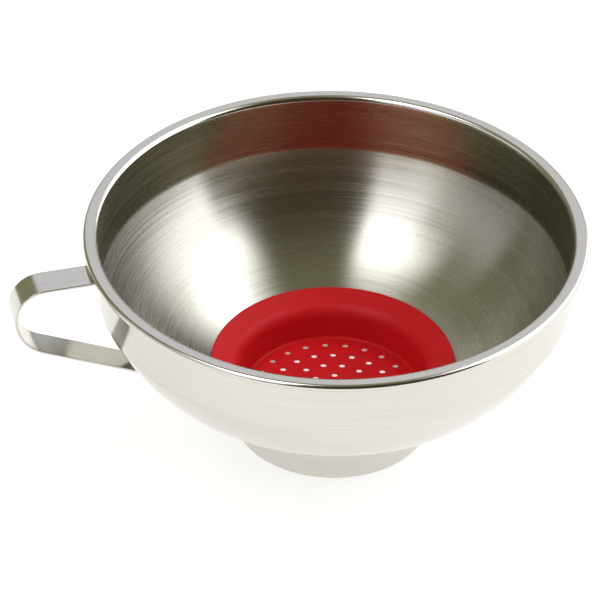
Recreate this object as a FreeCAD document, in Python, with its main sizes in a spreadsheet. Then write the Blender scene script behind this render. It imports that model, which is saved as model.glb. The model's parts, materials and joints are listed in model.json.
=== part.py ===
import FreeCAD, Part
import math
import os
from types import SimpleNamespace

import Sketcher
from FreeCAD import Placement, Rotation, Vector

# A canning funnel: a drawn and spun stainless steel bowl with a curled lip and a short straight
# spout, a strip handle spot-welded to its side, and a loose moulded strainer that drops into the
# spout. Millimetres and degrees. The origin is on the funnel's axis at the spout's open end, +Z
# points up out of the bowl, and the handle reaches towards -X.

DIMENSIONS = {
    # funnel: radii are from the axis, and heights are from the spout's open end
    "sheet": 0.7,               # thickness of the bowl's steel
    "rim_height": 66.0,         # top of the lip
    "lip_radius": 70.0,         # outside of the curled lip
    "curl_radius": 1.1,         # outside of the lip's curl
    "lip_bend": 0.7,            # bend from the band out into the lip, on its under side
    "hem_length": 1.5,          # flat end of the curl, turned back under the lip
    "band_radius": 66.5,        # outside of the upright band under the lip
    "shoulder_radius": 4.0,     # outside of the bend where the band meets the bowl
    "bowl_radius": 51.4,        # outside of the bowl's wall, as an arc in section
    "bowl_centre_r": 18.7,      # that arc's centre, out from the axis
    "bowl_centre_z": 66.6,      # and up from the spout's end
    "neck_radius": 2.0,         # under the bowl, where it turns down into the spout
    "spout_radius": 28.5,       # outside of the spout
    # handle: one strip, bent in the XZ plane
    "strip_thickness": 0.7,
    "strip_width": 9.0,
    "strip_edge": 0.2,          # rounding along the strip's edges
    "handle_reach": 91.3,       # middle of the strip at the far end of the loop
    "handle_top": 63.25,        # middle of the strip in the level upper leg
    "top_bend": 8.5,            # bends are measured to the middle of the strip
    "low_bend": 12.5,
    "root_bend": 1.35,          # upper leg down into its tab
    "toe_bend": 3.0,            # lower leg into its tab
    "leg_rise": 24.5,           # slope of the lower leg
    "upper_tab_end": 57.0,      # lower end of the upper tab
    "lower_tab_slope": 38.9,    # slope of the bowl's wall where the lower tab lies on it
    "lower_tab_length": 9.5,
    "tab_corner": 2.5,          # rounding of the tabs' corners
    "handle_turn": 180.0,       # direction of the handle round the axis
    # spot welds: two in each tab
    "weld_diameter": 3.0,
    "weld_spacing": 4.4,
    "weld_depth": 0.35,         # how deep a weld's metal reaches into the bowl's wall
    "weld_dent": 0.08,          # mark of the electrode in the tab's face
    "upper_weld_height": 59.4,
    # strainer: a flange that lies in the bowl and a perforated cup inside the spout
    "seat_gap": 0.15,           # clearance between strainer and steel
    "wall": 1.3,                # thickness of the moulding
    "flange_radius": 34.8,
    "flange_edge": 0.45,        # rounding of the flange's outer edge
    "cup_floor": 6.7,           # under side of the cup's floor
    "cup_corner": 2.2,          # outside corner between the cup's wall and floor
    "cup_draft": 4.0,           # taper of the cup's wall
    "floor_recess": 0.7,        # how far the under side of the floor is set back at the holes
    "recess_radius": 24.2,
    "hole_diameter": 1.8,
    "inner_ring": 3.6,          # radius of the first ring of holes
    "ring_step": 4.72,          # from one ring to the next
    "strainer_turn": 109.0,     # direction round the axis in which every ring has a hole
}
HOLES_IN_RING = [5, 9, 15, 20, 24]

XY, XZ = "XY_Plane", "XZ_Plane"
START, END, CENTRE = 1, 2, 3    # Sketcher's numbers for the points of a line or an arc
ORIGIN = (-1, 1)                # Sketcher's names for a sketch's own origin and axes
HORIZONTAL_AXIS = (-1,)
VERTICAL_AXIS = (-2,)
CLEAR = 1.0                     # how far outside the metal a cut starts or ends
ROUNDING = 1e-6                 # largest error when lengths or volumes are compared
SWEEP_ERROR = 0.01              # largest error of the strip's volume, as a share of it

dim = SimpleNamespace(**DIMENSIONS)     # the same values, to draw each sketch nearly right
doc = FreeCAD.newDocument("CanningFunnel")
sheet = doc.addObject("Spreadsheet::Sheet", "Dims")
for row, (alias, value) in enumerate(DIMENSIONS.items(), start=1):
    sheet.set(f"A{row}", alias.replace("_", " "))
    sheet.set(f"B{row}", str(value))
    sheet.setAlias(f"B{row}", alias)
doc.recompute()


def polar(centre, radius, degrees):
    angle = math.radians(degrees)
    return Vector(centre[0] + radius * math.cos(angle), centre[1] + radius * math.sin(angle), 0)


def line(start, end):
    return Part.LineSegment(Vector(start[0], start[1], 0), Vector(end[0], end[1], 0))


def arc(centre, radius, first, last):
    circle = Part.Circle(Vector(centre[0], centre[1], 0), Vector(0, 0, 1), radius)
    return Part.ArcOfCircle(circle, math.radians(first), math.radians(last))


def new_body(name):
    body = doc.addObject("PartDesign::Body", name)
    body.Label = name
    return body


def new_sketch(body, name, plane):
    """A sketch on one of the body's own origin planes."""
    sketch = body.newObject("Sketcher::SketchObject", name)
    support = next(item for item in body.Origin.OriginFeatures if item.Role == plane)
    sketch.AttachmentSupport = (support, [""])
    sketch.MapMode = "FlatFace"
    return sketch


def drive(sketch, kind, where, name, formula=None, value=None):
    """Adds one dimension, named, and binds it to the sheet: to the cell of the same name, or to
    a formula, which then comes with the value that it has at first."""
    if formula is None:
        formula = f"Dims.{name}"
        value = DIMENSIONS[name]
    index = sketch.addConstraint(Sketcher.Constraint(kind, *where, value))
    sketch.renameConstraint(index, name)
    sketch.setExpression(f"Constraints.{name}", formula)


def fix(sketch, *relations):
    sketch.addConstraint([Sketcher.Constraint(*relation) for relation in relations])


def revolve(body, name, sketch):
    feature = body.newObject("PartDesign::Revolution", name)
    feature.Profile = sketch
    feature.ReferenceAxis = (sketch, ["V_Axis"])
    feature.Angle = 360
    doc.recompute()
    return feature


def cut(body, name, sketch, depth=None):
    """A pocket along the sketch's own +z, to a depth or right through, that has to cut."""
    before = body.Shape.Volume
    pocket = body.newObject("PartDesign::Pocket", name)
    pocket.Profile = sketch
    pocket.Reversed = True
    if depth is None:
        pocket.Type = "ThroughAll"
    else:
        pocket.setExpression("Length", depth)
    doc.recompute()
    if not body.Shape.Volume < before - ROUNDING:
        raise RuntimeError(f"{name} of {body.Label} cuts nothing")
    return pocket


def turn(item, angle):
    """Turns a finished piece round the funnel's axis."""
    item.Placement = Placement(Vector(), Rotation(Vector(0, 0, 1), 1))
    item.setExpression("Placement.Rotation.Angle", f"{angle} * 1 deg")


def offset(segment, distance):
    """The sketch geometry of one segment of a run, moved to the left of its direction. A line is
    (start, end), and an arc is (centre, radius, first, last) in degrees, counter-clockwise if
    last is the larger."""
    if len(segment) == 2:
        start, end = (Vector(x, z, 0) for x, z in segment)
        along = (end - start).normalize()
        aside = Vector(-along.y, along.x, 0) * distance
        return line(start + aside, end + aside)
    centre, radius, first, last = segment
    if last > first:
        return arc(centre, radius - distance, first, last)
    return arc(centre, radius + distance, last, first)


def skin_sketch(body, name, run, thickness):
    """A closed section of even thickness to the left of a run of lines and tangent arcs. Segment
    n of the run has number n, and its inner twin n + len(run); the two caps come after them."""
    sketch = new_sketch(body, name, XZ)
    count = len(run)
    sides = [[offset(segment, distance) for segment in run] for distance in (0, thickness)]
    entry = [END if len(segment) == 4 and segment[3] < segment[2] else START for segment in run]
    leave = [START if point == END else END for point in entry]

    def point(side, number, which):
        geometry = sides[side][number]
        return geometry.StartPoint if which[number] == START else geometry.EndPoint

    first_cap = line(point(0, 0, entry), point(1, 0, entry))
    last_cap = line(point(0, -1, leave), point(1, -1, leave))
    sketch.addGeometry([*sides[0], *sides[1], first_cap, last_cap])
    for side in (0, 1):
        base = side * count
        for n in range(count - 1):
            fix(sketch, ("Tangent", base + n, leave[n], base + n + 1, entry[n + 1]))
        cap_end = END if side else START
        fix(
            sketch,
            ("Coincident", base, entry[0], 2 * count, cap_end),
            ("Coincident", base + count - 1, leave[-1], 2 * count + 1, cap_end),
        )
    for n, segment in enumerate(run):
        if len(segment) == 4:
            fix(sketch, ("Coincident", n, CENTRE, n + count, CENTRE))
    return sketch


# ---------------------------------------------------------------- places shared by the pieces

# The bowl's arc is tangent to the shoulder's arc and to the neck's, which gives their heights.
bowl_centre = (dim.bowl_centre_r, dim.bowl_centre_z)


def centre_below(radius_from_axis, distance):
    """The point at that radius that lies below the bowl's centre at that distance from it, and
    the direction in which it lies."""
    aside = radius_from_axis - dim.bowl_centre_r
    down = math.sqrt(distance ** 2 - aside ** 2)
    angle = math.degrees(math.atan2(-down, aside))
    return (radius_from_axis, dim.bowl_centre_z - down), angle


shoulder_centre, shoulder_angle = centre_below(
    dim.band_radius - dim.shoulder_radius, dim.bowl_radius - dim.shoulder_radius
)
neck_centre, neck_angle = centre_below(
    dim.spout_radius + dim.neck_radius, dim.bowl_radius + dim.neck_radius
)


# ---------------------------------------------------------------- weld places

# Where the two pairs of spot welds are: a point on the bowl's outside, out from the axis and up,
# and the slope of the wall there (90 is upright).
WELD_PAIRS = {
    "Upper": ("Dims.band_radius", "Dims.upper_weld_height", "90"),
    "Lower": (
        "Dims.bowl_centre_r + Dims.bowl_radius * sin(Dims.lower_tab_slope)",
        "Dims.bowl_centre_z - Dims.bowl_radius * cos(Dims.lower_tab_slope)",
        "Dims.lower_tab_slope",
    ),
}


def face_wall(item, where, pair, standoff):
    """Places an object square to the bowl's wall at a pair of welds, with its z axis pointing
    into the wall, at the distance outside the wall that the formula standoff gives."""
    out, up, slope = WELD_PAIRS[pair]
    setattr(item, where, Placement(Vector(), Rotation(Vector(0, -1, 0), 1)))
    item.setExpression(f"{where}.Rotation.Angle", f"{slope} * 1 deg")
    item.setExpression(f"{where}.Base.x", f"{out} + ({standoff}) * sin({slope})")
    item.setExpression(f"{where}.Base.z", f"{up} - ({standoff}) * cos({slope})")


def cut_welds(body, pair, outside, inside):
    """Cuts a pair of round seats, side by side across the strip. The formulas outside and inside
    say how far from the wall's face the cut starts and, inwards, where it ends."""
    circles = new_sketch(body, f"{pair}WeldCircles", XY)
    for number, side in enumerate((-1, 1)):
        centre = Vector(0, side * dim.weld_spacing / 2, 0)
        circles.addGeometry(Part.Circle(centre, Vector(0, 0, 1), dim.weld_diameter / 2))
        drive(circles, "Diameter", (number,), f"diameter_{number}",
              "Dims.weld_diameter", dim.weld_diameter)
    drive(circles, "DistanceY", (0, CENTRE, 1, CENTRE), "weld_spacing")
    fix(
        circles,
        ("PointOnObject", 0, CENTRE, *VERTICAL_AXIS),
        ("Symmetric", 0, CENTRE, 1, CENTRE, *ORIGIN),
    )
    face_wall(circles, "AttachmentOffset", pair, outside)
    doc.recompute()
    cut(body, f"{pair}WeldSeats", circles, f"{outside} + {inside}")


# ---------------------------------------------------------------- funnel bowl

def make_funnel_bowl():
    """One pressing: spout, neck, bowl, shoulder, band, and the lip turned out and curled under."""
    body = new_body("funnel_bowl")
    curl_centre = (dim.lip_radius - dim.curl_radius, dim.rim_height - dim.curl_radius)
    lip_under = dim.rim_height - dim.sheet
    band_top = lip_under - dim.lip_bend
    hem_top = curl_centre[1] - dim.curl_radius + dim.sheet
    run = [
        ((dim.spout_radius, 0), (dim.spout_radius, neck_centre[1])),
        (neck_centre, dim.neck_radius, 180, neck_angle + 180),
        (bowl_centre, dim.bowl_radius, neck_angle, shoulder_angle),
        (shoulder_centre, dim.shoulder_radius, shoulder_angle, 0),
        ((dim.band_radius, shoulder_centre[1]), (dim.band_radius, band_top)),
        ((dim.band_radius + dim.lip_bend, band_top), dim.lip_bend, 180, 90),
        ((dim.band_radius + dim.lip_bend, lip_under), (curl_centre[0], lip_under)),
        (curl_centre, dim.curl_radius - dim.sheet, 90, -90),
        ((curl_centre[0], hem_top), (curl_centre[0] - dim.hem_length, hem_top)),
    ]
    section = skin_sketch(body, "BowlSection", run, dim.sheet)
    spout, neck, bowl, shoulder, band, bend, flat, curl, hem = range(9)
    inner = len(run)
    foot, hem_end = 2 * inner, 2 * inner + 1
    for side in (0, inner):
        fix(
            section,
            ("Vertical", spout + side),
            ("Vertical", band + side),
            ("Horizontal", flat + side),
            ("Horizontal", hem + side),
        )
    fix(
        section,
        ("Horizontal", foot),
        ("Vertical", hem_end),
        ("PointOnObject", spout, START, *HORIZONTAL_AXIS),
    )
    drive(section, "DistanceX", (foot, END, foot, START), "sheet")
    drive(section, "DistanceX", (*ORIGIN, spout, START), "spout_radius")
    drive(section, "Radius", (neck,), "neck_radius")
    drive(section, "Radius", (bowl,), "bowl_radius")
    drive(section, "DistanceX", (*ORIGIN, bowl, CENTRE), "bowl_centre_r")
    drive(section, "DistanceY", (*ORIGIN, bowl, CENTRE), "bowl_centre_z")
    drive(section, "Radius", (shoulder,), "shoulder_radius")
    drive(section, "DistanceX", (*ORIGIN, band, START), "band_radius")
    drive(section, "Radius", (bend,), "lip_bend")
    drive(section, "DistanceY", (*ORIGIN, flat + inner, START), "rim_height")
    drive(section, "Radius", (curl + inner,), "curl_radius")
    drive(section, "DistanceX", (*ORIGIN, curl, CENTRE), "curl_centre",
          "Dims.lip_radius - Dims.curl_radius", curl_centre[0])
    drive(section, "DistanceX", (hem, END, hem, START), "hem_length")
    revolve(body, "Pressing", section)
    for pair in WELD_PAIRS:
        cut_welds(body, pair, f"{CLEAR}", "Dims.weld_depth")
    turn(body, "Dims.handle_turn")


# ---------------------------------------------------------------- loop handle

def handle_path(body):
    """The middle of the strip: upper tab, level leg, loop, rising lower leg and lower tab."""
    half_strip = dim.strip_thickness / 2
    wall_x = dim.band_radius + half_strip
    slope = math.radians(dim.lower_tab_slope)
    tab_middle = polar(bowl_centre, dim.bowl_radius + half_strip, dim.lower_tab_slope - 90)
    half_tab = Vector(math.cos(slope), math.sin(slope), 0) * (dim.lower_tab_length / 2)
    tab_start = tab_middle - half_tab
    tab_end = tab_middle + half_tab

    toe_centre = polar(tab_end, -dim.toe_bend, dim.lower_tab_slope + 90)
    leg_start = polar(toe_centre, dim.toe_bend, dim.leg_rise + 90)
    low_centre_x = dim.handle_reach - dim.low_bend
    leg_end_x = low_centre_x + dim.low_bend * math.sin(math.radians(dim.leg_rise))
    leg_end_z = leg_start.y + (leg_end_x - leg_start.x) * math.tan(math.radians(dim.leg_rise))
    leg_end = Vector(leg_end_x, leg_end_z, 0)
    low_centre = (low_centre_x, leg_end.y + dim.low_bend * math.cos(math.radians(dim.leg_rise)))
    top_centre = (dim.handle_reach - dim.top_bend, dim.handle_top - dim.top_bend)
    root_centre = (wall_x + dim.root_bend, dim.handle_top - dim.root_bend)

    path = new_sketch(body, "StripPath", XZ)
    path.addGeometry([
        line((wall_x, dim.upper_tab_end), (wall_x, root_centre[1])),
        arc(root_centre, dim.root_bend, 90, 180),
        line((root_centre[0], dim.handle_top), (top_centre[0], dim.handle_top)),
        arc(top_centre, dim.top_bend, 0, 90),
        line((dim.handle_reach, top_centre[1]), (dim.handle_reach, low_centre[1])),
        arc(low_centre, dim.low_bend, dim.leg_rise - 90, 0),
        line(leg_end, leg_start),
        arc(toe_centre, dim.toe_bend, dim.leg_rise + 90, dim.lower_tab_slope + 90),
        line(tab_end, tab_start),
    ])
    tab, root, top_leg, top, far_end, low, low_leg, toe, low_tab = range(9)
    fix(
        path,
        ("Tangent", tab, END, root, END),
        ("Tangent", root, START, top_leg, START),
        ("Tangent", top_leg, END, top, END),
        ("Tangent", top, START, far_end, START),
        ("Tangent", far_end, END, low, END),
        ("Tangent", low, START, low_leg, START),
        ("Tangent", low_leg, END, toe, START),
        ("Tangent", toe, END, low_tab, START),
        ("Vertical", tab),
        ("Horizontal", top_leg),
        ("Vertical", far_end),
    )
    half = "Dims.strip_thickness / 2"
    drive(path, "DistanceX", (*ORIGIN, tab, START), "tab_x", f"Dims.band_radius + {half}", wall_x)
    drive(path, "DistanceY", (*ORIGIN, tab, START), "upper_tab_end")
    drive(path, "DistanceY", (*ORIGIN, top_leg, END), "handle_top")
    drive(path, "DistanceX", (*ORIGIN, far_end, START), "handle_reach")
    drive(path, "Radius", (root,), "root_bend")
    drive(path, "Radius", (top,), "top_bend")
    drive(path, "Radius", (low,), "low_bend")
    drive(path, "Radius", (toe,), "toe_bend")
    # Both lower lines are drawn inwards and down, so their angles count from the -x direction.
    drive(path, "Angle", (low_leg,), "leg_rise",
          "Dims.leg_rise * 1 deg - 180 deg", math.radians(dim.leg_rise - 180))
    drive(path, "Angle", (low_tab,), "tab_slope",
          "Dims.lower_tab_slope * 1 deg - 180 deg", math.radians(dim.lower_tab_slope - 180))
    drive(path, "Distance", (low_tab,), "lower_tab_length")
    reach = f"(Dims.bowl_radius + {half})"
    along = "Dims.lower_tab_length / 2"
    drive(path, "DistanceX", (*ORIGIN, low_tab, END), "tab_end_x",
          f"Dims.bowl_centre_r + {reach} * sin(Dims.lower_tab_slope)"
          f" - {along} * cos(Dims.lower_tab_slope)", tab_start.x)
    drive(path, "DistanceY", (*ORIGIN, low_tab, END), "tab_end_z",
          f"Dims.bowl_centre_z - {reach} * cos(Dims.lower_tab_slope)"
          f" - {along} * sin(Dims.lower_tab_slope)", tab_start.y)
    return path


def strip_section(body):
    """The strip's section, level, where the path starts at the lower end of the upper tab."""
    near = dim.band_radius
    far = dim.band_radius + dim.strip_thickness
    half = dim.strip_width / 2
    section = new_sketch(body, "StripSection", XY)
    section.setExpression("AttachmentOffset.Base.z", "Dims.upper_tab_end")
    corners = [(near, -half), (far, -half), (far, half), (near, half)]
    section.addGeometry([line(corners[n], corners[(n + 1) % 4]) for n in range(4)])
    fix(section, *(("Coincident", n, END, (n + 1) % 4, START) for n in range(4)))
    fix(
        section,
        ("Horizontal", 0),
        ("Horizontal", 2),
        ("Vertical", 3),
        ("Symmetric", 1, START, 1, END, *HORIZONTAL_AXIS),
    )
    drive(section, "DistanceX", (*ORIGIN, 0, START), "band_radius")
    drive(section, "DistanceX", (0, START, 0, END), "strip_thickness")
    drive(section, "DistanceY", (1, START, 1, END), "strip_width")
    return section


def make_loop_handle():
    body = new_body("loop_handle")
    path = handle_path(body)
    section = strip_section(body)
    doc.recompute()
    strip = body.newObject("PartDesign::AdditivePipe", "Strip")
    strip.Profile = section
    strip.Spine = (path, [f"Edge{n + 1}" for n in range(len(path.Shape.Edges))])
    doc.recompute()
    swept = dim.strip_thickness * dim.strip_width * path.Shape.Length
    if abs(strip.Shape.Volume / swept - 1) > SWEEP_ERROR:
        raise RuntimeError("the strip isn't its section times its length")

    corners = body.newObject("PartDesign::Fillet", "TabCorners")
    corners.Base = (strip, edges_of_length(strip.Shape, dim.strip_thickness))
    corners.setExpression("Radius", "Dims.tab_corner")
    doc.recompute()
    edges = body.newObject("PartDesign::Fillet", "StripEdges")
    edges.Base = (corners, outline_edges(corners.Shape))
    edges.setExpression("Radius", "Dims.strip_edge")
    doc.recompute()
    for pair in WELD_PAIRS:
        cut_welds(body, pair, f"Dims.strip_thickness + {CLEAR}", f"{CLEAR}")
    turn(body, "Dims.handle_turn")


def edges_of_length(shape, length):
    return [
        f"Edge{number}"
        for number, edge in enumerate(shape.Edges, start=1)
        if abs(edge.Length - length) < ROUNDING
    ]


def outline_edges(shape):
    """Names of the edges along the strip's two sides and round its ends: those that don't
    cross the strip from side to side or run through its thickness."""
    names = []
    for number, edge in enumerate(shape.Edges, start=1):
        ends = [vertex.Point for vertex in edge.Vertexes]
        crosses = abs(ends[0].y - ends[-1].y) > dim.strip_width - 2 * dim.tab_corner + ROUNDING
        through = abs(edge.Length - dim.strip_thickness) < ROUNDING
        if not crosses and not through:
            names.append(f"Edge{number}")
    return names


# ---------------------------------------------------------------- spot welds

def make_spot_welds():
    """The metal that joins the handle's tabs to the bowl: it fills the round holes in the tabs
    and the shallow seats in the wall."""
    welds = []
    for pair in WELD_PAIRS:
        for side in ("-", "+"):
            weld = doc.addObject("Part::Cylinder", f"{pair}Weld")
            weld.setExpression("Radius", "Dims.weld_diameter / 2")
            weld.setExpression(
                "Height", "Dims.strip_thickness - Dims.weld_dent + Dims.weld_depth"
            )
            face_wall(weld, "Placement", pair, "Dims.strip_thickness - Dims.weld_dent")
            weld.setExpression("Placement.Base.y", f"{side} Dims.weld_spacing / 2")
            welds.append(weld)
    group = doc.addObject("Part::Compound", "spot_welds")
    group.Label = "spot_welds"
    group.Links = welds
    turn(group, "Dims.handle_turn")


# ---------------------------------------------------------------- strainer insert

def strainer_section(body):
    """Cup floor, corner, tapered cup wall, shoulder over the funnel's neck, flange in the bowl."""
    standoff = dim.sheet + dim.seat_gap
    shoulder_radius = dim.neck_radius + standoff
    flange_arc = dim.bowl_radius - standoff
    wall_top = polar(neck_centre, shoulder_radius, 180 - dim.cup_draft)
    corner_z = dim.cup_floor + dim.cup_corner
    drop = wall_top.y - corner_z + dim.cup_corner * math.sin(math.radians(dim.cup_draft))
    wall_foot = wall_top - Vector(drop * math.tan(math.radians(dim.cup_draft)), drop, 0)
    corner_r = wall_foot.x - dim.cup_corner * math.cos(math.radians(dim.cup_draft))
    edge_aside = dim.flange_radius - dim.bowl_centre_r
    edge_angle = -math.degrees(math.acos(edge_aside / flange_arc))
    run = [
        ((0, dim.cup_floor), (corner_r, dim.cup_floor)),
        ((corner_r, corner_z), dim.cup_corner, -90, -dim.cup_draft),
        ((wall_foot.x, wall_foot.y), (wall_top.x, wall_top.y)),
        (neck_centre, shoulder_radius, 180 - dim.cup_draft, neck_angle + 180),
        (bowl_centre, flange_arc, neck_angle, edge_angle),
    ]
    section = skin_sketch(body, "StrainerSection", run, dim.wall)
    floor, corner, wall, shoulder, flange = range(5)
    inner = len(run)
    axis, edge = 2 * inner, 2 * inner + 1
    fix(
        section,
        ("Horizontal", floor),
        ("Horizontal", floor + inner),
        ("Parallel", wall, wall + inner),
        ("PointOnObject", axis, START, *VERTICAL_AXIS),
        ("PointOnObject", axis, END, *VERTICAL_AXIS),
        ("Vertical", edge),
    )
    over_steel = "(Dims.sheet + Dims.seat_gap)"
    drive(section, "DistanceY", (axis, START, axis, END), "wall")
    drive(section, "DistanceY", (*ORIGIN, floor, START), "cup_floor")
    drive(section, "Radius", (corner,), "cup_corner")
    drive(section, "Angle", (wall,), "wall_angle",
          "90 deg - Dims.cup_draft * 1 deg", math.radians(90 - dim.cup_draft))
    drive(section, "Radius", (shoulder,), "shoulder_arc",
          f"Dims.neck_radius + {over_steel}", shoulder_radius)
    drive(section, "DistanceX", (*ORIGIN, shoulder, CENTRE), "shoulder_centre",
          "Dims.spout_radius + Dims.neck_radius", neck_centre[0])
    drive(section, "Radius", (flange,), "flange_arc",
          f"Dims.bowl_radius - {over_steel}", flange_arc)
    drive(section, "DistanceX", (*ORIGIN, flange, CENTRE), "bowl_centre_r")
    drive(section, "DistanceY", (*ORIGIN, flange, CENTRE), "bowl_centre_z")
    drive(section, "DistanceX", (*ORIGIN, edge, START), "flange_radius")
    return section


def cut_recess(body):
    """Thins the cup's floor from below, where the holes are."""
    sketch = new_sketch(body, "FloorRecessCircle", XY)
    sketch.addGeometry(Part.Circle(Vector(), Vector(0, 0, 1), dim.recess_radius))
    fix(sketch, ("Coincident", 0, CENTRE, *ORIGIN))
    drive(sketch, "Radius", (0,), "recess_radius")
    cut(body, "FloorRecess", sketch, "Dims.cup_floor + Dims.floor_recess")


def cut_ring(body, number, count):
    """One ring of holes: the first lies along the body's x axis, and the rest follow evenly."""
    radius = dim.inner_ring + number * dim.ring_step
    sketch = new_sketch(body, f"HoleOfRing{number}", XY)
    centre = Vector(radius, 0, 0)
    sketch.addGeometry(Part.Circle(centre, Vector(0, 0, 1), dim.hole_diameter / 2))
    fix(sketch, ("PointOnObject", 0, CENTRE, *HORIZONTAL_AXIS))
    drive(sketch, "Diameter", (0,), "hole_diameter")
    drive(sketch, "DistanceX", (*ORIGIN, 0, CENTRE), "ring_radius",
          f"Dims.inner_ring + {number} * Dims.ring_step", radius)
    hole = cut(body, f"FirstHoleOfRing{number}", sketch)
    ring = body.newObject("PartDesign::PolarPattern", f"HolesOfRing{number}")
    ring.Originals = [hole]
    ring.Axis = (sketch, ["N_Axis"])
    ring.Angle = 360
    ring.Occurrences = count
    body.Tip = ring
    doc.recompute()


def make_strainer_insert():
    body = new_body("strainer_insert")
    moulding = revolve(body, "Moulding", strainer_section(body))
    rim = body.newObject("PartDesign::Fillet", "FlangeEdge")
    rim.Base = (moulding, rim_edges(moulding.Shape, dim.flange_radius))
    rim.setExpression("Radius", "Dims.flange_edge")
    doc.recompute()
    cut_recess(body)
    for number, count in enumerate(HOLES_IN_RING):
        cut_ring(body, number, count)
    turn(body, "Dims.strainer_turn")


def rim_edges(shape, radius):
    return [
        f"Edge{number}"
        for number, edge in enumerate(shape.Edges, start=1)
        if isinstance(edge.Curve, Part.Circle) and abs(edge.Curve.Radius - radius) < ROUNDING
    ]


# ---------------------------------------------------------------- build, check and write

make_funnel_bowl()
make_loop_handle()
make_spot_welds()
make_strainer_insert()
doc.recompute()

for item in doc.Objects:
    if "Invalid" in item.State or "Error" in item.State:
        raise RuntimeError(f"{item.Label} failed: {item.State}")

PIECES = ["funnel_bowl", "loop_handle", "spot_welds", "strainer_insert"]
os.makedirs("parts", exist_ok=True)
for label in PIECES:
    shape = doc.getObjectsByLabel(label)[0].Shape
    if shape.isNull() or not shape.isValid():
        raise RuntimeError(f"{label} has no valid shape")
    box = shape.optimalBoundingBox(False)
    print(f"{label}: {len(shape.Solids)} solids, {shape.Volume:.1f} mm3, "
          f"x {box.XMin:.2f}..{box.XMax:.2f}, z {box.ZMin:.2f}..{box.ZMax:.2f}")
    shape.exportStep(f"parts/{label}.step")
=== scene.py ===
import json
import math

import bmesh
import bpy
from mathutils import Matrix, Quaternion, Vector
from mathutils.geometry import delaunay_2d_cdt


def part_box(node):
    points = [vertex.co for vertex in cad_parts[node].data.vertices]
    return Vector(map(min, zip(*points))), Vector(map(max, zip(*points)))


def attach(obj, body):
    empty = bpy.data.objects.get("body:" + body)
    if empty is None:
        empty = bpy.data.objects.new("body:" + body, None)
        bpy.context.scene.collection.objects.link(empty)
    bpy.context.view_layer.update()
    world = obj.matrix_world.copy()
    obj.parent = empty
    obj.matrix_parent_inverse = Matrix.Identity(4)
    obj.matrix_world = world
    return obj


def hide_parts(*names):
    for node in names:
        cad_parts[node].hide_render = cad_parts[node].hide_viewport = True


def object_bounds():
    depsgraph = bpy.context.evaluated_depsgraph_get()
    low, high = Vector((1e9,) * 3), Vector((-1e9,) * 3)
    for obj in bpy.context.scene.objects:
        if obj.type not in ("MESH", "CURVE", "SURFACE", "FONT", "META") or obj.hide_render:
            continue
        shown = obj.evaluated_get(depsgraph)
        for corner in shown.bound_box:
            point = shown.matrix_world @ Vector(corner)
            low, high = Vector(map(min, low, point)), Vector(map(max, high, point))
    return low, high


# A canning funnel on a pale floor: a steel bowl brushed inside and polished outside, a strip
# handle with its spot welds, and a red strainer. Metres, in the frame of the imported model: the
# origin is on the funnel's axis at the spout's open end, and the handle reaches towards -X.

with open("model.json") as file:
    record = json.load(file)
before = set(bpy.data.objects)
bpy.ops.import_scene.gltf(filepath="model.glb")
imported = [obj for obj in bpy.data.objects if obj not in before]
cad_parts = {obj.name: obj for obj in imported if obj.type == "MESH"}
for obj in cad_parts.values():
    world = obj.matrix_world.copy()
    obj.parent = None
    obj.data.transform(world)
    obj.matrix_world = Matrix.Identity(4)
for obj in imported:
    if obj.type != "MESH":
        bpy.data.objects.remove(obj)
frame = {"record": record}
cad_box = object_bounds()

MM = 0.001
MOUNTS = {mount["name"]: mount for mount in frame["record"]["mounts"]}
STEPS_ROUND = 240               # facets round the funnel's axis
ARC_STEP = 6                    # largest turn between two points of an arc, in degrees

# ---------------------------------------------------------------- sizes

bowl_low, bowl_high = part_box("funnel_bowl")
LIP_RADIUS = bowl_high.x
RIM_HEIGHT = bowl_high.z
SPOUT_RADIUS = MOUNTS["spout"]["dims"]["r_mm"] * MM
NECK_HEIGHT = MOUNTS["spout"]["dims"]["length_mm"] * MM     # where the straight spout ends
SHEET = 0.7 * MM
CURL_RADIUS = 1.1 * MM
LIP_BEND = 0.7 * MM
HEM_LENGTH = 1.5 * MM
BAND_RADIUS = 66.5 * MM
SHOULDER_RADIUS = 4.0 * MM
BOWL_RADIUS = 51.4 * MM
BOWL_CENTRE = (18.7 * MM, 66.6 * MM)
NECK_RADIUS = 2.0 * MM
CUT_EDGE = 0.12 * MM            # rounding of a deburred cut edge

handle_low, handle_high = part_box("loop_handle")
STRIP = 0.7 * MM
STRIP_HALF_WIDTH = handle_high.y
STRIP_EDGE = 0.2 * MM
HANDLE_REACH = -handle_low.x - STRIP / 2
HANDLE_TOP = handle_high.z - STRIP / 2
TOP_BEND = 8.5 * MM
LOW_BEND = 12.5 * MM
ROOT_BEND = 1.35 * MM
TOE_BEND = 3.0 * MM
LEG_RISE = 24.5
UPPER_TAB_END = 57.0 * MM
LOWER_TAB_SLOPE = 38.9
LOWER_TAB_LENGTH = 9.5 * MM
TAB_CORNER = 2.5 * MM
TAB_END = 0.02 * MM             # the corners' rounding starts this far in from a tab's end
STATION = 0.8 * MM              # longest step along the strip
TAB_STATION = 0.25 * MM         # and along its tabs, where the electrodes' marks are
STRIP_STEPS = 36                # facets across each side of the strip

WELD_RADIUS = 1.5 * MM
WELD_SPACING = 4.4 * MM
WELD_DENT = 0.2 * MM            # depth of the electrode's mark in the tab
WELD_STEPS = 40                 # facets round each weld
UPPER_WELD_HEIGHT = 59.4 * MM

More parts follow.
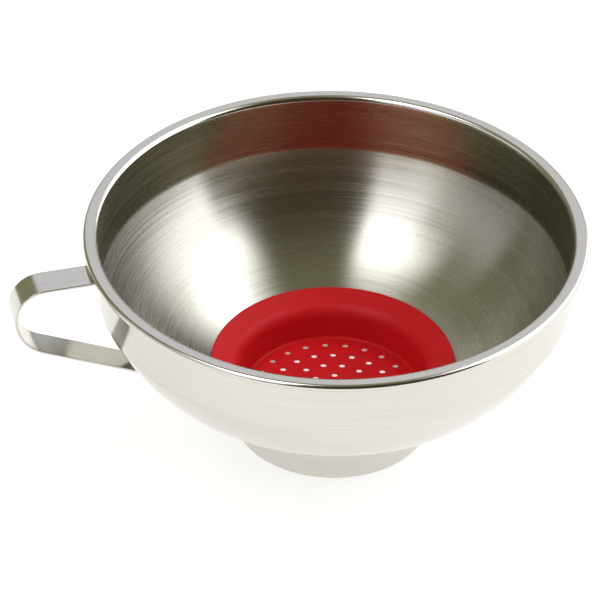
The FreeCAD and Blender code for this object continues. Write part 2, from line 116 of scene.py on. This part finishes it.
strainer_low, strainer_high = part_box("strainer_insert")
SEAT_GAP = 0.15 * MM
WALL = 1.3 * MM
FLANGE_RADIUS = strainer_high.x
FLANGE_EDGE = 0.45 * MM
CUP_FLOOR = strainer_low.z
CUP_CORNER = 2.2 * MM
CUP_DRAFT = 4.0
FLOOR_RECESS = 0.7 * MM         # the under side of the floor is set back at the holes
RECESS_RADIUS = 24.2 * MM
HOLE_RADIUS = 0.9 * MM
HOLE_EDGE = 0.12 * MM
COLLAR = HOLE_RADIUS + HOLE_EDGE + 0.12 * MM    # the flat faces stop short of the holes here
HOLE_STEPS = 24                 # facets round each hole
INNER_RING = 3.6 * MM
RING_STEP = 4.72 * MM
HOLES_IN_RING = (5, 9, 15, 20, 24)
STRAINER_TURN = 109.0


# ---------------------------------------------------------------- sections

def polar(centre, radius, degrees):
    angle = math.radians(degrees)
    return (centre[0] + radius * math.cos(angle), centre[1] + radius * math.sin(angle))


def stretch(segment, offset, longest):
    """Points along one segment of a run, moved to the left of its direction. A line is
    (start, end), and an arc is (centre, radius, first, last) in degrees."""
    if len(segment) == 2:
        (x0, y0), (x1, y1) = segment
        length = math.hypot(x1 - x0, y1 - y0)
        aside = (-(y1 - y0) / length * offset, (x1 - x0) / length * offset)
        count = max(1, math.ceil(length / longest))
        return [
            (x0 + (x1 - x0) * n / count + aside[0], y0 + (y1 - y0) * n / count + aside[1])
            for n in range(count + 1)
        ]
    centre, radius, first, last = segment
    moved = radius - offset if last > first else radius + offset
    turn = abs(last - first)
    count = max(math.ceil(turn / ARC_STEP), math.ceil(math.radians(turn) * radius / longest))
    return [polar(centre, moved, first + (last - first) * n / count) for n in range(count + 1)]


def follow(run, offset, longest=1.5 * MM):
    """Points along a run of tangent segments, with no point twice."""
    points = []
    for segment in run:
        points += stretch(segment, offset, longest)[1 if points else 0:]
    return points


def centre_below(radius_from_axis, distance):
    """The point at that radius that lies below the bowl's centre at that distance from it, and
    the direction in which it lies."""
    aside = radius_from_axis - BOWL_CENTRE[0]
    down = math.sqrt(distance ** 2 - aside ** 2)
    return (radius_from_axis, BOWL_CENTRE[1] - down), math.degrees(math.atan2(-down, aside))


shoulder_centre, shoulder_angle = centre_below(
    BAND_RADIUS - SHOULDER_RADIUS, BOWL_RADIUS - SHOULDER_RADIUS
)
neck_centre, neck_angle = centre_below(SPOUT_RADIUS + NECK_RADIUS, BOWL_RADIUS + NECK_RADIUS)


# ---------------------------------------------------------------- mesh helpers

def new_piece(name, bm, materials, body, node):
    """Makes a smooth piece of a bmesh, which rides on a body and stands for a CAD node."""
    bmesh.ops.recalc_face_normals(bm, faces=bm.faces)
    mesh = bpy.data.meshes.new(name)
    bm.to_mesh(mesh)
    bm.free()
    mesh.shade_smooth()
    for material in materials:
        mesh.materials.append(material)
    piece = bpy.data.objects.new(name, mesh)
    bpy.context.scene.collection.objects.link(piece)
    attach(piece, body)
    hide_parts(node)
    return piece


def ring_of(bm, radius, height, steps=STEPS_ROUND):
    return [
        bm.verts.new((radius * math.cos(math.tau * n / steps),
                      radius * math.sin(math.tau * n / steps), height))
        for n in range(steps)
    ]


def bridge(bm, one, other, material=0):
    """Quads between two closed rings of vertices."""
    for n in range(len(one)):
        after = (n + 1) % len(one)
        face = bm.faces.new((one[n], one[after], other[after], other[n]))
        face.material_index = material


def soften(piece, width):
    """Rounds the sharp edges of a piece."""
    bevel = piece.modifiers.new("soft edge", "BEVEL")
    bevel.width = width
    bevel.segments = 3
    bevel.limit_method = "ANGLE"
    bevel.angle_limit = math.radians(50)


# ---------------------------------------------------------------- funnel bowl

def make_bowl(outside, inside):
    curl_centre = (LIP_RADIUS - CURL_RADIUS, RIM_HEIGHT - CURL_RADIUS)
    lip_under = RIM_HEIGHT - SHEET
    band_top = lip_under - LIP_BEND
    hem_top = curl_centre[1] - CURL_RADIUS + SHEET
    run = [
        ((SPOUT_RADIUS, 0), (SPOUT_RADIUS, neck_centre[1])),
        (neck_centre, NECK_RADIUS, 180, neck_angle + 180),
        (BOWL_CENTRE, BOWL_RADIUS, neck_angle, shoulder_angle),
        (shoulder_centre, SHOULDER_RADIUS, shoulder_angle, 0),
        ((BAND_RADIUS, shoulder_centre[1]), (BAND_RADIUS, band_top)),
        ((BAND_RADIUS + LIP_BEND, band_top), LIP_BEND, 180, 90),
        ((BAND_RADIUS + LIP_BEND, lip_under), (curl_centre[0], lip_under)),
        (curl_centre, CURL_RADIUS - SHEET, 90, -90),
        ((curl_centre[0], hem_top), (curl_centre[0] - HEM_LENGTH, hem_top)),
    ]
    outer, inner = follow(run, 0), follow(run, SHEET)
    brushed = len(follow(run[:5], SHEET))       # the brushing stops where the lip turns out
    bm = bmesh.new()
    rings = [ring_of(bm, r, z) for r, z in inner + outer[::-1]]
    for n, ring in enumerate(rings):
        bridge(bm, ring, rings[(n + 1) % len(rings)], 1 if n < brushed - 1 else 0)
    piece = new_piece("funnel_bowl_shell", bm, [outside, inside], "funnel",
                      "funnel_bowl")
    soften(piece, CUT_EDGE)


# ---------------------------------------------------------------- loop handle

def handle_run():
    """The middle of the strip, out from the axis and up: upper tab, level leg, loop, lower leg
    and lower tab."""
    wall = BAND_RADIUS + STRIP / 2
    slope = math.radians(LOWER_TAB_SLOPE)
    rise = math.radians(LEG_RISE)
    middle = polar(BOWL_CENTRE, BOWL_RADIUS + STRIP / 2, LOWER_TAB_SLOPE - 90)
    half = LOWER_TAB_LENGTH / 2
    tab_inner = (middle[0] - math.cos(slope) * half, middle[1] - math.sin(slope) * half)
    tab_outer = (middle[0] + math.cos(slope) * half, middle[1] + math.sin(slope) * half)
    toe = polar(tab_outer, -TOE_BEND, LOWER_TAB_SLOPE + 90)
    leg_inner = polar(toe, TOE_BEND, LEG_RISE + 90)
    leg_outer_x = HANDLE_REACH - LOW_BEND + LOW_BEND * math.sin(rise)
    leg_outer = (leg_outer_x, leg_inner[1] + (leg_outer_x - leg_inner[0]) * math.tan(rise))
    low = (HANDLE_REACH - LOW_BEND, leg_outer[1] + LOW_BEND * math.cos(rise))
    top = (HANDLE_REACH - TOP_BEND, HANDLE_TOP - TOP_BEND)
    root = (wall + ROOT_BEND, HANDLE_TOP - ROOT_BEND)
    return [
        ((wall, UPPER_TAB_END), (wall, root[1])),
        (root, ROOT_BEND, 180, 90),
        ((root[0], HANDLE_TOP), (top[0], HANDLE_TOP)),
        (top, TOP_BEND, 90, 0),
        ((HANDLE_REACH, top[1]), (HANDLE_REACH, low[1])),
        (low, LOW_BEND, 0, LEG_RISE - 90),
        (leg_outer, leg_inner),
        (toe, TOE_BEND, LEG_RISE + 90, LOWER_TAB_SLOPE + 90),
        (tab_outer, tab_inner),
    ]


def half_width(from_end):
    """Half the strip's width, which shrinks round the corners at both ends."""
    if from_end >= TAB_CORNER:
        return STRIP_HALF_WIDTH
    return STRIP_HALF_WIDTH - TAB_CORNER + math.sqrt(
        max(0, TAB_CORNER ** 2 - (TAB_CORNER - from_end) ** 2))


def end_inset(from_end):
    """How far the strip's faces draw in at its deburred ends."""
    return CUT_EDGE - math.sqrt(CUT_EDGE ** 2 - max(0, CUT_EDGE - from_end) ** 2)


def dent(point):
    """How deep the electrode's mark is at a point of a tab: a dish with a soft rim."""
    deepest = 0
    for place in weld_places():
        away = (point - place["on_tab"]).length / WELD_RADIUS
        if away < 1:
            deepest = max(deepest, WELD_DENT * (1 - away ** 6))
    return deepest


def weld_places():
    """Middle of each weld on the tab's open face, and the way out of the wall there."""
    places = []
    slope = math.radians(LOWER_TAB_SLOPE)
    lower = polar(BOWL_CENTRE, BOWL_RADIUS + STRIP, LOWER_TAB_SLOPE - 90)
    for side in (-1, 1):
        y = side * WELD_SPACING / 2
        places.append({
            "on_tab": Vector((-BAND_RADIUS - STRIP, y, UPPER_WELD_HEIGHT)),
            "out": Vector((-1, 0, 0)),
        })
        places.append({
            "on_tab": Vector((-lower[0], y, lower[1])),
            "out": Vector((-math.sin(slope), 0, -math.cos(slope))),
        })
    return places


def make_handle(steel):
    run = handle_run()
    tabs = (0, len(run) - 1)
    middle = []
    for number, segment in enumerate(run):
        longest = TAB_STATION if number in tabs else STATION
        middle += [Vector(p) for p in stretch(segment, 0, longest)[1 if middle else 0:]]
    near_end = [CUT_EDGE * share for share in (0.07, 0.3, 0.6, 1.0)]
    inward = (middle[1] - middle[0]).normalized(), (middle[-2] - middle[-1]).normalized()
    middle[1:1] = [middle[0] + inward[0] * reach for reach in near_end]
    middle[-1:-1] = [middle[-1] + inward[1] * reach for reach in reversed(near_end)]
    length = [0.0]
    for a, b in zip(middle, middle[1:]):
        length.append(length[-1] + (b - a).length)
    bm = bmesh.new()
    loops = []
    for n, point in enumerate(middle):
        before, after = middle[max(n - 1, 0)], middle[min(n + 1, len(middle) - 1)]
        along = (after - before).normalized()
        left = Vector((-along.y, along.x))
        from_end = min(length[n], length[-1] - length[n])
        wide = half_width(max(from_end, TAB_END)) - end_inset(from_end)
        thick = STRIP / 2 - end_inset(from_end)
        loop = []
        for side in (1, -1):
            for step in range(STRIP_STEPS + 1):
                across = 1 - 2 * step / STRIP_STEPS
                y = wide * math.sin(across * math.pi / 2) * side
                inset = max(0.0, abs(y) - (wide - STRIP_EDGE))
                lower = STRIP_EDGE - math.sqrt(max(STRIP_EDGE ** 2 - inset ** 2, 0))
                off = thick - lower
                flat = point + left * (side * off)
                depth = dent(Vector((-flat.x, y, flat.y)))
                flat = point + left * (side * (off - depth))
                loop.append(bm.verts.new((-flat.x, y, flat.y)))
        loops.append(loop)
    for one, other in zip(loops, loops[1:]):
        bridge(bm, one, other)
    for loop in (loops[0], loops[-1]):
        bm.faces.new(loop)
    bmesh.ops.remove_doubles(bm, verts=bm.verts, dist=0.001 * MM)
    new_piece("loop_handle_strip", bm, [steel], "funnel", "loop_handle")


def make_welds(steel):
    """Each weld: a round plug whose face is a shallow dish inside the electrode's mark."""
    # outwards and down: share of the weld's radius, and height from the tab's open face
    section = [(0.35, -0.165 * MM), (0.7, -0.17 * MM), (0.86, -0.15 * MM), (0.94, -0.165 * MM),
               (0.96, -0.22 * MM), (0.96, -0.6 * MM)]
    bm = bmesh.new()
    for place in weld_places():
        turn = Vector((0, 0, 1)).rotation_difference(place["out"]).to_matrix()
        rings = [[
            bm.verts.new(place["on_tab"] + turn @ Vector((
                share * WELD_RADIUS * math.cos(math.tau * n / WELD_STEPS),
                share * WELD_RADIUS * math.sin(math.tau * n / WELD_STEPS), height)))
            for n in range(WELD_STEPS)
        ] for share, height in section]
        for one, other in zip(rings, rings[1:]):
            bridge(bm, one, other)
        bm.faces.new(rings[0])
        bm.faces.new(rings[-1])
    new_piece("spot_weld_plugs", bm, [steel], "funnel", "spot_welds")


# ---------------------------------------------------------------- strainer

def make_strainer(plastic):
    standoff = SHEET + SEAT_GAP
    shoulder = NECK_RADIUS + standoff
    flange_arc = BOWL_RADIUS - standoff
    wall_top = polar(neck_centre, shoulder, 180 - CUP_DRAFT)
    corner_z = CUP_FLOOR + CUP_CORNER
    draft = math.radians(CUP_DRAFT)
    drop = wall_top[1] - corner_z + CUP_CORNER * math.sin(draft)
    wall_foot = (wall_top[0] - drop * math.tan(draft), wall_top[1] - drop)
    corner_r = wall_foot[0] - CUP_CORNER * math.cos(draft)

    def edge_angle(radius):
        return -math.degrees(math.acos((FLANGE_RADIUS - BOWL_CENTRE[0]) / radius))

    def side(offset):
        """The moulding's section on one side, from the flat floor to the flange's edge."""
        run = [
            ((corner_r, corner_z), CUP_CORNER, -90, -CUP_DRAFT),
            (wall_foot, wall_top),
            (neck_centre, shoulder, 180 - CUP_DRAFT, neck_angle + 180),
            (BOWL_CENTRE, flange_arc, neck_angle, edge_angle(flange_arc - offset)),
        ]
        return follow(run, offset, 0.8 * MM)

    under, upper = side(0), side(WALL)
    bm = bmesh.new()
    rings = [ring_of(bm, r, z) for r, z in under + upper[::-1]]
    for one, other in zip(rings, rings[1:]):
        bridge(bm, one, other)
    recess = [(corner_r, CUP_FLOOR), (RECESS_RADIUS + CUT_EDGE, CUP_FLOOR),
              (RECESS_RADIUS, CUP_FLOOR + CUT_EDGE), (RECESS_RADIUS, CUP_FLOOR + FLOOR_RECESS)]
    steps = [ring_of(bm, r, z) for r, z in recess]
    for one, other in zip(steps, steps[1:]):
        bridge(bm, one, other)
    perforated_plate(bm, RECESS_RADIUS, CUP_FLOOR + FLOOR_RECESS, -1)
    perforated_plate(bm, corner_r, CUP_FLOOR + WALL, 1)
    hole_walls(bm, CUP_FLOOR + FLOOR_RECESS, CUP_FLOOR + WALL)
    bmesh.ops.remove_doubles(bm, verts=bm.verts, dist=0.002 * MM)
    turn = Matrix.Rotation(math.radians(STRAINER_TURN), 3, "Z")
    bmesh.ops.rotate(bm, verts=bm.verts, matrix=turn)
    piece = new_piece("strainer_moulding", bm, [plastic], "strainer",
                      "strainer_insert")
    soften(piece, FLANGE_EDGE)


def hole_centres():
    for number, count in enumerate(HOLES_IN_RING):
        radius = INNER_RING + number * RING_STEP
        for n in range(count):
            angle = math.tau * n / count
            yield Vector((radius * math.cos(angle), radius * math.sin(angle)))


def perforated_plate(bm, radius, height, facing):
    """One flat face of the cup's floor, out to a radius, with a gap round every hole. It faces
    up (1) or down (-1)."""
    points = [Vector((radius * math.cos(math.tau * n / STEPS_ROUND),
                      radius * math.sin(math.tau * n / STEPS_ROUND))) for n in range(STEPS_ROUND)]
    edges = [(n, (n + 1) % STEPS_ROUND) for n in range(STEPS_ROUND)]
    centres = list(hole_centres())
    for centre in centres:
        base = len(points)
        points += [centre + COLLAR * Vector((math.cos(math.tau * n / HOLE_STEPS),
                                             math.sin(math.tau * n / HOLE_STEPS)))
                   for n in range(HOLE_STEPS)]
        edges += [(base + n, base + (n + 1) % HOLE_STEPS) for n in range(HOLE_STEPS)]
    flat, _, faces, _, _, _ = delaunay_2d_cdt(points, edges, [], 1, 1e-9)
    verts = [bm.verts.new((p.x, p.y, height)) for p in flat]
    for face in faces:
        middle = sum((flat[i] for i in face), Vector((0, 0))) / len(face)
        if all((middle - centre).length > COLLAR * 0.99 for centre in centres):
            bm.faces.new([verts[i] for i in face[::facing]])


def hole_walls(bm, low, high):
    """The wall of every hole, with its rounded edges."""
    roll = [(HOLE_RADIUS + HOLE_EDGE * (1 - math.sin(a)), HOLE_EDGE * (1 - math.cos(a)))
            for a in (0, math.pi / 6, math.pi / 3, math.pi / 2)]
    section = [(COLLAR, high)] + [(r, high - inset) for r, inset in roll]
    section += [(r, low + inset) for r, inset in reversed(roll)] + [(COLLAR, low)]
    for centre in hole_centres():
        rings = [[
            bm.verts.new((centre.x + r * math.cos(math.tau * n / HOLE_STEPS),
                          centre.y + r * math.sin(math.tau * n / HOLE_STEPS), z))
            for n in range(HOLE_STEPS)
        ] for r, z in section]
        for one, other in zip(rings, rings[1:]):
            bridge(bm, one, other)


# ---------------------------------------------------------------- materials

class Tree:
    """Short ways to add nodes to a material or world."""

    def __init__(self, owner):
        owner.use_nodes = True
        self.nodes = owner.node_tree.nodes
        self.links = owner.node_tree.links
        self.nodes.clear()

    def add(self, kind, inputs=(), **settings):
        node = self.nodes.new(kind)
        for name, value in settings.items():
            setattr(node, name, value)
        for socket, value in dict(inputs).items():
            if isinstance(value, bpy.types.NodeSocket):
                self.links.new(value, node.inputs[socket])
            else:
                node.inputs[socket].default_value = value
        return node

    def math(self, operation, a, b=0.0):
        return self.add("ShaderNodeMath", {0: a, 1: b}, operation=operation).outputs[0]

    def noise(self, vector, scale=1.0, detail=3.0, roughness=0.6, w=None):
        inputs = {"Vector": vector, "Scale": scale, "Detail": detail, "Roughness": roughness}
        if w is None:
            return self.add("ShaderNodeTexNoise", inputs).outputs["Fac"]
        inputs["W"] = w
        return self.add("ShaderNodeTexNoise", inputs, noise_dimensions="4D").outputs["Fac"]

    def between(self, value, low, high, start=0.3, end=0.7):
        """The value's range from start to end, spread from low to high."""
        node = self.add("ShaderNodeMapRange", {
            "Value": value, "From Min": start, "From Max": end, "To Min": low, "To Max": high})
        return node.outputs["Result"]

    def tint(self, value, low, high, start=0.3, end=0.7):
        ramp = self.add("ShaderNodeValToRGB", {"Fac": value})
        ramp.color_ramp.elements[0].position = start
        ramp.color_ramp.elements[0].color = (*low, 1)
        ramp.color_ramp.elements[1].position = end
        ramp.color_ramp.elements[1].color = (*high, 1)
        return ramp.outputs["Color"]

    def blend(self, share, one, other):
        """A colour between two others: the first at 0, and the second at 1."""
        mix = self.add("ShaderNodeMix", {0: share, 6: one, 7: other}, data_type="RGBA")
        return mix.outputs[2]

    def bump(self, height, strength, distance):
        node = self.add("ShaderNodeBump", {
            "Height": height, "Strength": strength, "Distance": distance})
        return node.outputs["Normal"]

    def round_axis(self, across, along):
        """A 4D place that changes quickly across rings round the Z axis and slowly along them:
        across in cycles per metre, and along in cycles per turn. Returns its vector and w."""
        where = self.add("ShaderNodeTexCoord").outputs["Object"]
        split = self.add("ShaderNodeSeparateXYZ", {0: where})
        flat = self.add("ShaderNodeCombineXYZ", {0: split.outputs[0], 1: split.outputs[1]})
        radius = self.add("ShaderNodeVectorMath", {0: flat.outputs[0]}, operation="LENGTH")
        unit = self.add("ShaderNodeVectorMath", {0: flat.outputs[0]}, operation="NORMALIZE")
        turn = self.add("ShaderNodeSeparateXYZ", {0: unit.outputs[0]})
        vector = self.add("ShaderNodeCombineXYZ", {
            0: self.math("MULTIPLY", radius.outputs["Value"], across),
            1: self.math("MULTIPLY", split.outputs[2], across),
            2: self.math("MULTIPLY", turn.outputs[0], along),
        })
        return vector.outputs[0], self.math("MULTIPLY", turn.outputs[1], along)

    def finish(self, shader):
        output = self.add("ShaderNodeOutputMaterial")
        self.links.new(shader.outputs[0], output.inputs["Surface"])


def brushed_inside():
    """Steel brushed in rings round the axis, with painted shade on the upright band: a darker,
    yellower colour there stands in for the dark reflections that the band shows.
    """
    material = bpy.data.materials.new("steel_brushed_inside")
    tree = Tree(material)
    vector, w = tree.round_axis(2400, 0.9)
    lines = tree.noise(vector, detail=2, roughness=0.7, w=w)
    broad, broad_w = tree.round_axis(500, 0.7)
    bands = tree.noise(broad, detail=2, w=broad_w)
    grain = tree.math("ADD", tree.math("MULTIPLY", lines, 0.7), tree.math("MULTIPLY", bands, 0.3))
    where = tree.add("ShaderNodeTexCoord").outputs["Object"]
    height = tree.add("ShaderNodeSeparateXYZ", {0: where}).outputs[2]
    crease = shoulder_centre[1]
    # painted shade: above the crease the base colour fades to a darker, yellower tone, standing
    # in for the dark reflections on the upright band
    band_shade_share = tree.between(height, 0.0, 1.0, crease - 1.5 * MM, crease)
    steel = tree.tint(grain, (0.53, 0.517, 0.462), (0.66, 0.648, 0.593), 0.35, 0.65)
    painted_band_shade = tree.tint(grain, (0.31, 0.282, 0.18), (0.43, 0.40, 0.285), 0.35, 0.65)
    tangent = tree.add("ShaderNodeTangent", direction_type="RADIAL", axis="Z")
    shader = tree.add("ShaderNodeBsdfPrincipled", {
        "Base Color": tree.blend(band_shade_share, steel, painted_band_shade),
        "Metallic": 1.0,
        "Roughness": tree.between(grain, 0.22, 0.29, 0.35, 0.65),
        "Anisotropic": 1.0,
        "Anisotropic Rotation": 0.25,
        "Tangent": tangent.outputs[0],
        "Normal": tree.bump(lines, 0.05, 0.02 * MM),
    })
    tree.finish(shader)
    return material


def polished_outside():
    """Steel polished bright, with faint rings left by the spinning and soft smudges."""
    material = bpy.data.materials.new("steel_polished_outside")
    tree = Tree(material)
    vector, w = tree.round_axis(1500, 1.2)
    lines = tree.noise(vector, detail=4, roughness=0.65, w=w)
    where = tree.add("ShaderNodeTexCoord").outputs["Object"]
    smudges = tree.noise(where, scale=45, detail=4)
    shader = tree.add("ShaderNodeBsdfPrincipled", {
        "Base Color": tree.tint(lines, (0.675, 0.655, 0.615), (0.715, 0.70, 0.665)),
        "Metallic": 1.0,
        "Roughness": tree.between(smudges, 0.12, 0.19),
        "Normal": tree.bump(lines, 0.12, 0.01 * MM),
    })
    tree.finish(shader)
    return material


def polished_strip():
    """Steel strip with faint lines along its length."""
    material = bpy.data.materials.new("steel_strip")
    tree = Tree(material)
    where = tree.add("ShaderNodeTexCoord").outputs["Object"]
    squeeze = tree.add("ShaderNodeMapping", {"Vector": where, "Scale": (60, 3200, 60)})
    lines = tree.noise(squeeze.outputs[0], detail=4, roughness=0.65)
    smudges = tree.noise(where, scale=160, detail=3)
    shader = tree.add("ShaderNodeBsdfPrincipled", {
        "Base Color": tree.tint(lines, (0.65, 0.635, 0.60), (0.74, 0.725, 0.69)),
        "Metallic": 1.0,
        "Roughness": tree.between(smudges, 0.12, 0.22),
        "Normal": tree.bump(lines, 0.3, 0.01 * MM),
    })
    tree.finish(shader)
    return material


def weld_steel():
    """The dull, slightly heat-tinted metal of a spot weld."""
    material = bpy.data.materials.new("steel_weld")
    tree = Tree(material)
    where = tree.add("ShaderNodeTexCoord").outputs["Object"]
    grain = tree.noise(where, scale=2400, detail=4)
    stain = tree.noise(where, scale=500, detail=2)
    shader = tree.add("ShaderNodeBsdfPrincipled", {
        "Base Color": tree.tint(stain, (0.42, 0.38, 0.31), (0.62, 0.61, 0.58)),
        "Metallic": 1.0,
        "Roughness": tree.between(grain, 0.3, 0.5),
        "Normal": tree.bump(grain, 0.4, 0.03 * MM),
    })
    tree.finish(shader)
    return material


def red_plastic():
    """Satin moulded plastic with a fine grain and faint flow marks."""
    material = bpy.data.materials.new("plastic_red")
    tree = Tree(material)
    where = tree.add("ShaderNodeTexCoord").outputs["Object"]
    grain = tree.noise(where, scale=3500, detail=3)
    flow = tree.noise(where, scale=90, detail=3)
    shader = tree.add("ShaderNodeBsdfPrincipled", {
        "Base Color": tree.tint(flow, (0.69, 0.014, 0.022), (0.75, 0.018, 0.027)),
        "Roughness": tree.between(grain, 0.4, 0.52),
        "Specular IOR Level": 0.32,
        "Normal": tree.bump(grain, 0.25, 0.02 * MM),
    })
    tree.finish(shader)
    return material


# ---------------------------------------------------------------- studio

ROOM_FRONT = (0.078, 0.066, 0.038)   # the dark side of the room, behind the camera
ROOM_BACK = (0.33, 0.32, 0.22)
PANEL_EDGE = 5.0                    # softness of a panel's side edges, in degrees
PANEL_TINT = (1, 1.01, 1.05)

# Light panels: middle and half size as (azimuth, elevation) in degrees, and radiance. The later
# ones cover the earlier ones.
PANELS = (
    ((160.0, 36.0), (31.0, 18.0), 0.82),
    ((150.0, 12.0), (36.0, 10.0), 0.62),
    ((-84.0, 20.0), (33.0, 13.0), 0.95),
    ((-54.0, 40.0), (17.0, 22.0), 1.3),
    ((89.0, 19.0), (39.0, 10.0), 3.2),
    ((92.0, 50.0), (44.0, 10.0), 3.6),
    ((-74.0, 67.0), (34.0, 14.0), 3.6),
)


CAMERA_SIDE = (-16.23, 37.11)       # azimuth and elevation of the camera, seen from its aim
CAMERA_DISTANCE = 0.9028
CAMERA_ROLL = 0.81
AIM_HEIGHT = 43.3 * MM
AIM_ASIDE = 0.8 * MM                # from the middle of the CAD box towards +X


def towards(azimuth, elevation):
    """Unit vector towards a place round the object. Azimuth 0 is -Y, and 90 is +X."""
    a, e = math.radians(azimuth), math.radians(elevation)
    return Vector((math.sin(a) * math.cos(e), -math.cos(a) * math.cos(e), math.sin(e)))


def make_camera():
    low, high = cad_box
    aim = Vector(((low.x + high.x) / 2 + AIM_ASIDE, 0, AIM_HEIGHT))
    back = towards(*CAMERA_SIDE)
    data = bpy.data.cameras.new("camera")
    data.sensor_width = 36
    data.lens = 193.4
    data.clip_start, data.clip_end = 0.05, 20
    camera = bpy.data.objects.new("camera", data)
    bpy.context.scene.collection.objects.link(camera)
    camera.location = aim + back * CAMERA_DISTANCE
    camera.rotation_mode = "QUATERNION"
    roll = Quaternion((0, 0, 1), math.radians(CAMERA_ROLL))
    camera.rotation_quaternion = (-back).to_track_quat("-Z", "Y") @ roll
    bpy.context.scene.camera = camera


def make_floor():
    """A pale acrylic light table, which glows softly from below."""
    bm = bmesh.new()
    bmesh.ops.create_circle(bm, cap_ends=True, segments=96, radius=5.0)
    mesh = bpy.data.meshes.new("floor")
    bm.to_mesh(mesh)
    bm.free()
    floor = bpy.data.objects.new("floor", mesh)
    bpy.context.scene.collection.objects.link(floor)
    material = bpy.data.materials.new("floor")
    tree = Tree(material)
    shader = tree.add("ShaderNodeBsdfPrincipled", {
        "Base Color": (0.47, 0.47, 0.455, 1),
        "Roughness": 0.6,
        "Emission Color": (1, 0.995, 0.985, 1),
        "Emission Strength": 0.72,
    })
    tree.finish(shader)
    mesh.materials.append(material)


def panel_share(tree, direction, elevation, middle, half):
    """How much of a soft-edged light panel lies in a direction, from 0 to 1."""
    aside, ahead = (
        tree.add("ShaderNodeVectorMath", {0: direction, 1: axis}, operation="DOT_PRODUCT")
        for axis in (towards(middle[0] + 90, 0), towards(middle[0], 0))
    )
    turn = tree.math("ARCTAN2", aside.outputs["Value"], ahead.outputs["Value"])
    rise = tree.math("SUBTRACT", elevation, math.radians(middle[1]))
    shares = []
    # the upper and lower edges are twice as soft
    for angle, size, edge in ((turn, half[0], PANEL_EDGE), (rise, half[1], 2 * PANEL_EDGE)):
        away = tree.math("ABSOLUTE", angle)
        shares.append(tree.add("ShaderNodeMapRange", {
            "Value": away,
            "From Min": math.radians(size - edge), "From Max": math.radians(size + edge),
            "To Min": 1.0, "To Max": 0.0,
        }, interpolation_type="SMOOTHSTEP").outputs[0])
    return tree.math("MULTIPLY", *shares)


def make_world():
    """A dim studio, darkest behind the camera, with white light panels on both sides. It looks
    white where the camera sees past the floor's edge."""
    world = bpy.data.worlds.new("studio")
    bpy.context.scene.world = world
    tree = Tree(world)
    direction = tree.add("ShaderNodeTexCoord").outputs["Generated"]
    split = tree.add("ShaderNodeSeparateXYZ", {0: direction})
    elevation = tree.math("ARCSINE", split.outputs[2])
    front = tree.math("MULTIPLY", split.outputs[1], -1.0)
    colour = tree.tint(front, ROOM_BACK, ROOM_FRONT, 0.05, 0.6)
    for middle, half, radiance in PANELS:
        share = panel_share(tree, direction, elevation, middle, half)
        light = [radiance * part for part in PANEL_TINT] + [1]
        colour = tree.blend(share, colour, light)
    seen = tree.add("ShaderNodeLightPath").outputs["Is Camera Ray"]
    room = tree.add("ShaderNodeBackground", {"Color": colour, "Strength": 1.0})
    backdrop = tree.add("ShaderNodeBackground", {"Color": (1, 1, 1, 1), "Strength": 1.0})
    mix = tree.add("ShaderNodeMixShader", {0: seen, 1: room.outputs[0], 2: backdrop.outputs[0]})
    output = tree.add("ShaderNodeOutputWorld")
    tree.links.new(mix.outputs[0], output.inputs["Surface"])


make_camera()
make_floor()
make_world()

make_bowl(polished_outside(), brushed_inside())
make_handle(polished_strip())
make_welds(weld_steel())
make_strainer(red_plastic())

bpy.context.scene.view_settings.view_transform = "Standard"
bpy.context.scene.view_settings.gamma = 0.85
